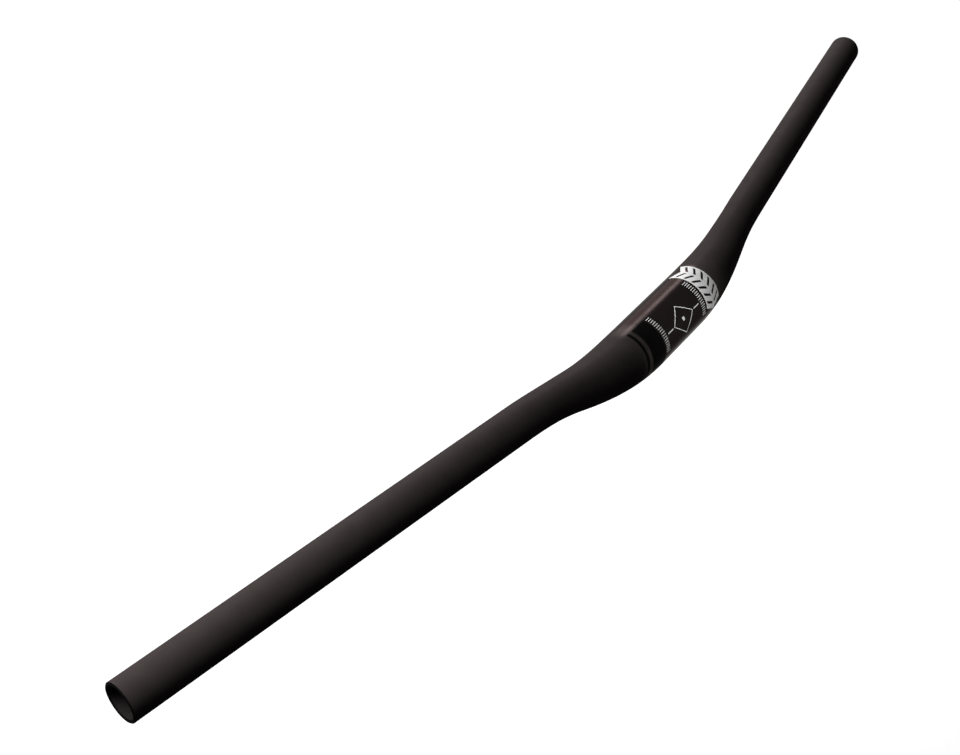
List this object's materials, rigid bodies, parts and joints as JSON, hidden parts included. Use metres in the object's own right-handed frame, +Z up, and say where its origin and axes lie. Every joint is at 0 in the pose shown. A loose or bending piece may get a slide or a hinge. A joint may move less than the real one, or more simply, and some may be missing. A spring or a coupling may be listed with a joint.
{
  "type": "riser handlebar",
  "caption": "Bent aluminium riser handlebar: wide stem clamp zone, tapered rising shoulders and straight swept grips with open ends.",
  "frame": {"origin": "centre of the stem clamp zone, on the tube's axis", "axes": "+X along the clamp's axis towards the rider's right hand, +Y to the rear towards the rider, +Z up"},
  "size_m": [0.8034, 0.0681, 0.0677],
  "materials": {
    "black_anodised": "matte black anodised over a fine blasted grain",
    "clamp_finish": "satin black anodised, finer grain than the rest",
    "print_white": "thin white screen print",
    "print_black": "thin deep black screen print"
  },
  "bodies": {
    "root": {"handlebar": "black_anodised"}
  },
  "joints": []
}
